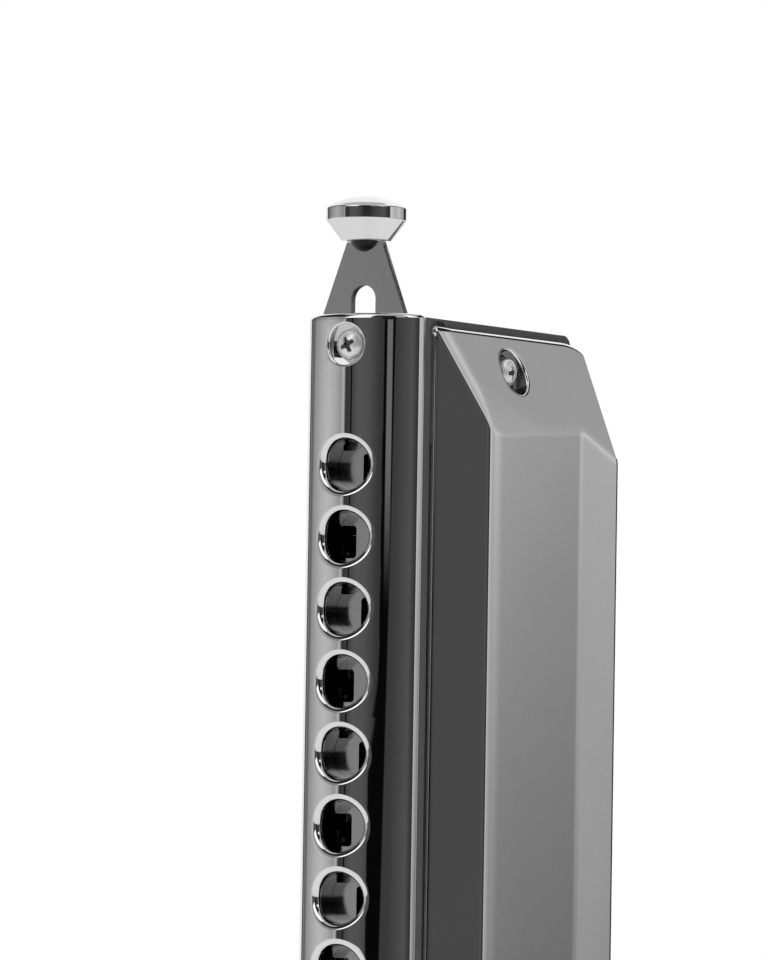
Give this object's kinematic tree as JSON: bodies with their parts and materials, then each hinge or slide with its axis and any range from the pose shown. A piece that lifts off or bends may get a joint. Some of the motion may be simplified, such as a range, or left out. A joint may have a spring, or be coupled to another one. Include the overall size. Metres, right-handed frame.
{
  "type": "chromatic harmonica",
  "caption": "Chromatic harmonica: a chrome mouthpiece with a row of round blow holes, angular chrome covers open at the back, and a sprung slide with a round push button.",
  "frame": {"origin": "centre of the bounding box on the surface that the instrument stands on, at the end away from the button", "axes": "+Z along the length towards the push button, +Y from the lips to the open back of the covers, +X across the thickness towards the upper cover"},
  "size_m": [0.0292, 0.0452, 0.1559],
  "materials": {
    "comb_plastic": "satin black moulding",
    "plate_brass": "milled",
    "reed_brass": "ground",
    "rivet_brass": "polished",
    "valve_film": "translucent film",
    "cover_chrome": "mirror polished",
    "mouthpiece_chrome": "mirror polished",
    "screw_chrome": "polished",
    "plain_steel": "plain",
    "spring_steel": "drawn wire",
    "insert_brass": "turned",
    "bumper_silicone": "translucent silicone",
    "slide_nickel": "fine polished plate",
    "button_chrome": "mirror polished",
    "ferrule_dark": "dark gloss"
  },
  "bodies": {
    "body": {"comb": "comb_plastic", "upper_reed_plate": "plate_brass", "lower_reed_plate": "plate_brass", "upper_blow_reeds": "reed_brass", "lower_blow_reeds": "reed_brass", "upper_draw_reeds": "reed_brass", "lower_draw_reeds": "reed_brass", "upper_reed_rivets": "rivet_brass", "lower_reed_rivets": "rivet_brass", "upper_outer_valves": "valve_film", "lower_outer_valves": "valve_film", "upper_inner_valves": "valve_film", "lower_inner_valves": "valve_film", "upper_plate_screws": "plain_steel", "lower_plate_screws": "plain_steel", "upper_cover": "cover_chrome", "lower_cover": "cover_chrome", "cover_bolts": "screw_chrome", "cover_nuts": "plain_steel", "mouthpiece": "mouthpiece_chrome", "mouthpiece_screws": "screw_chrome", "screw_inserts": "insert_brass", "slide_backing_plate": "slide_nickel", "slide_bumpers": "bumper_silicone", "slide_spring": "spring_steel", "spring_post": "plain_steel"},
    "slide": {"slide_plate": "slide_nickel", "slide_button": "button_chrome", "button_ferrule": "ferrule_dark"}
  },
  "joints": [
    {"name": "slide_travel", "type": "slide", "parent": "body", "child": "slide", "axis": [0, 0, -1], "range_m": [0, 0.0046], "stiffness_N_per_m": 250, "springref_m": -0.008, "deforming": ["slide_spring"]}
  ]
}
